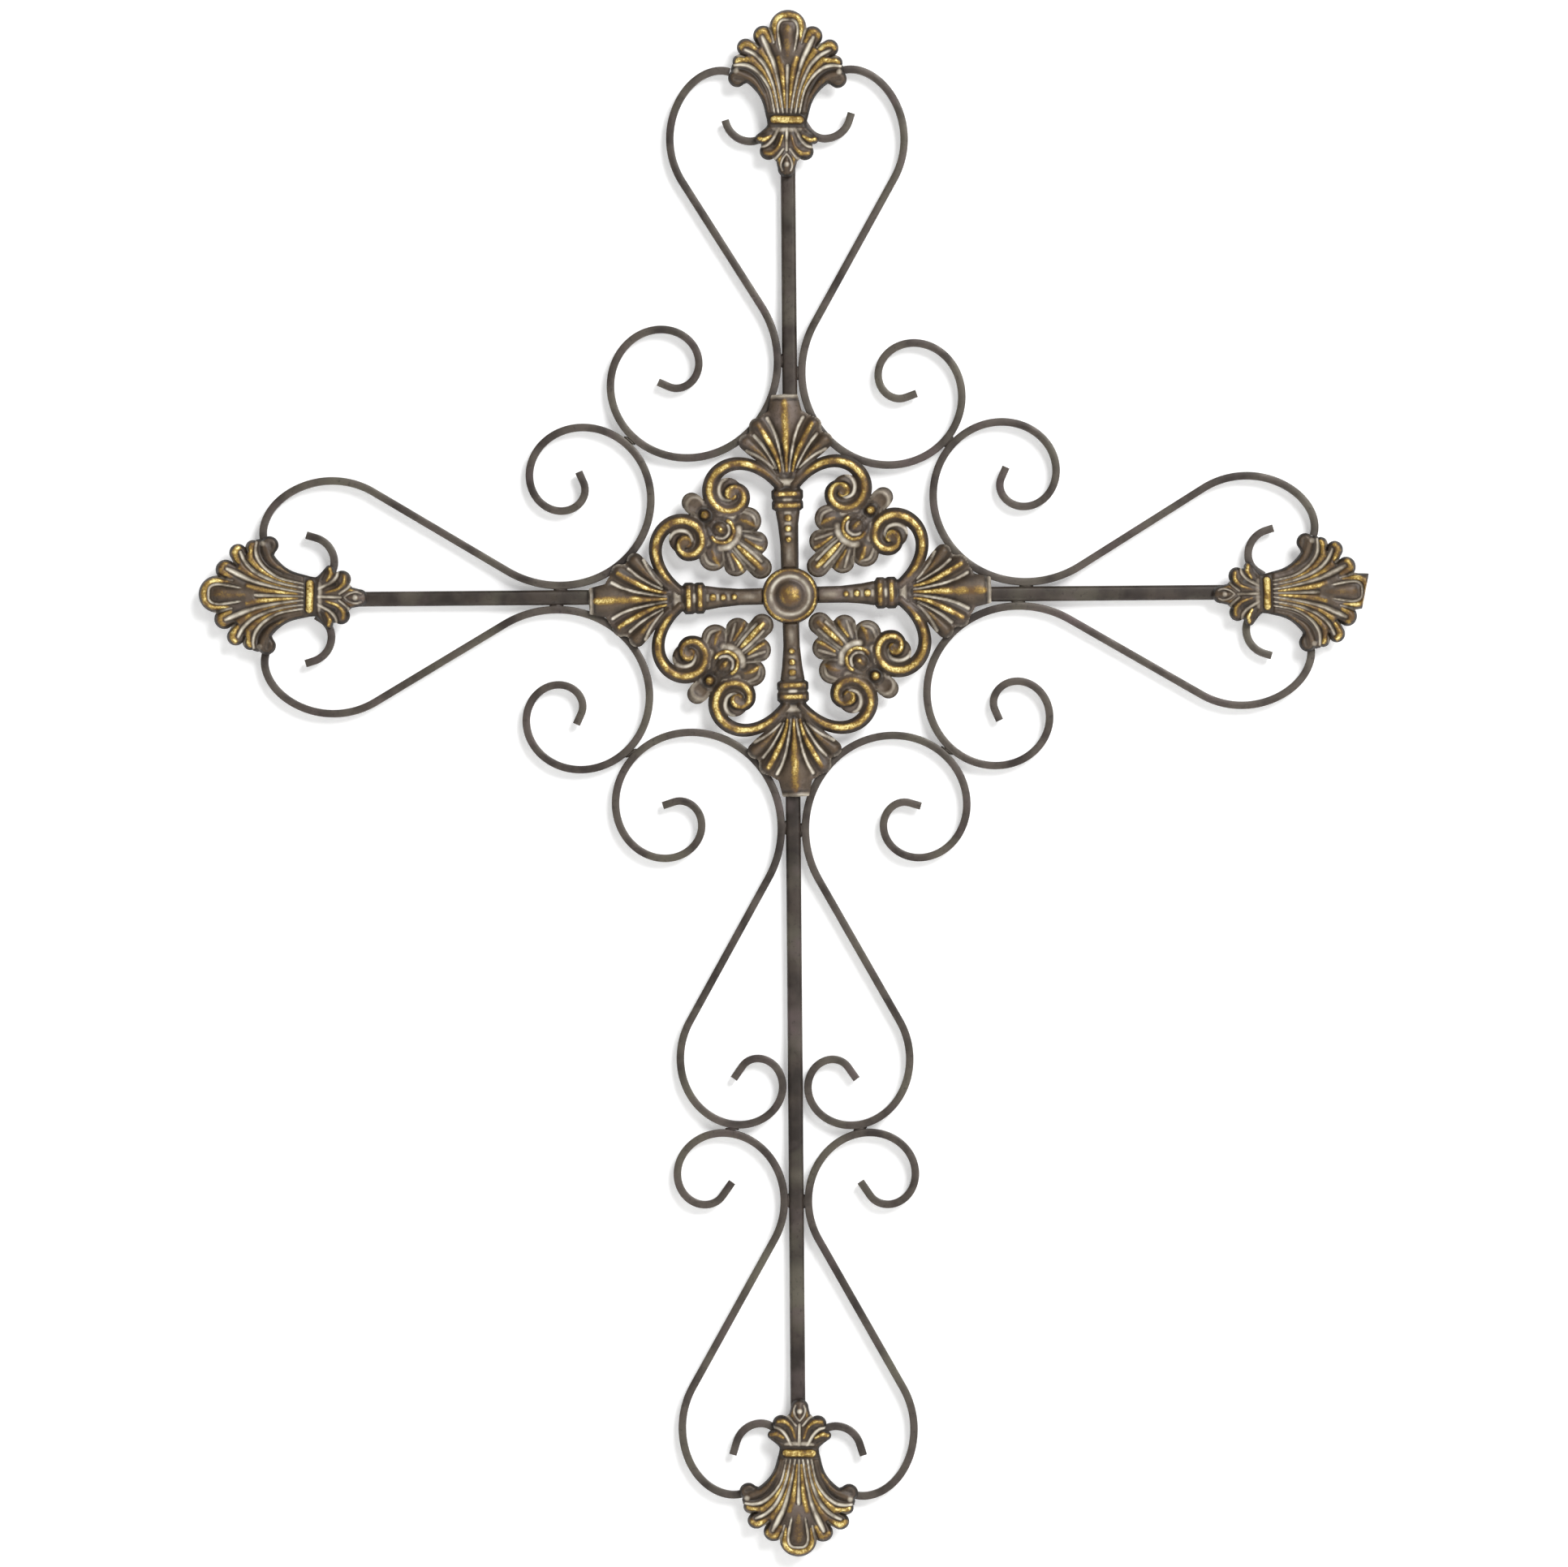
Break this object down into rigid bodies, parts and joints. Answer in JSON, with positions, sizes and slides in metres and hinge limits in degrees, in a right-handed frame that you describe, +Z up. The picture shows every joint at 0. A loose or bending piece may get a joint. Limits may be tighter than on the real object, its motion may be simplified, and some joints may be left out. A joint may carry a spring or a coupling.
{
  "type": "wall cross",
  "caption": "Latin wall cross of slim metal bars with bent scroll rods between the arms, a pressed leaf finial on each end and an openwork pressed medallion over the crossing.",
  "frame": {"origin": "the crossing of the bars, on the flat back of the upright that lies against the wall", "axes": "+X right seen from the front, +Y into the wall, +Z up along the upright; the front faces -Y"},
  "size_m": [0.6902, 0.0157, 0.913],
  "materials": {
    "iron": "dark brown painted iron, mottled with a rubbed greenish and purplish patina",
    "pressing": "dark bronze paint on pressed sheet, antique gold rubbed on the high parts and a pale wash in the creases"
  },
  "bodies": {
    "root": {"upright": "iron", "arm_left": "iron", "arm_right": "iron", "scroll_top_left": "iron", "scroll_top_right": "iron", "scroll_left_upper": "iron", "scroll_left_lower": "iron", "scroll_right_upper": "iron", "scroll_right_lower": "iron", "scroll_waist_left": "iron", "scroll_waist_right": "iron", "scroll_foot_left": "iron", "scroll_foot_right": "iron", "hook_top_left": "iron", "hook_top_right": "iron", "hook_left_upper": "iron", "hook_left_lower": "iron", "hook_right_upper": "iron", "hook_right_lower": "iron", "hook_bottom_left": "iron", "hook_bottom_right": "iron", "finial_top": "pressing", "finial_left": "pressing", "finial_right": "pressing", "finial_bottom": "pressing", "medallion": "pressing"}
  },
  "joints": []
}
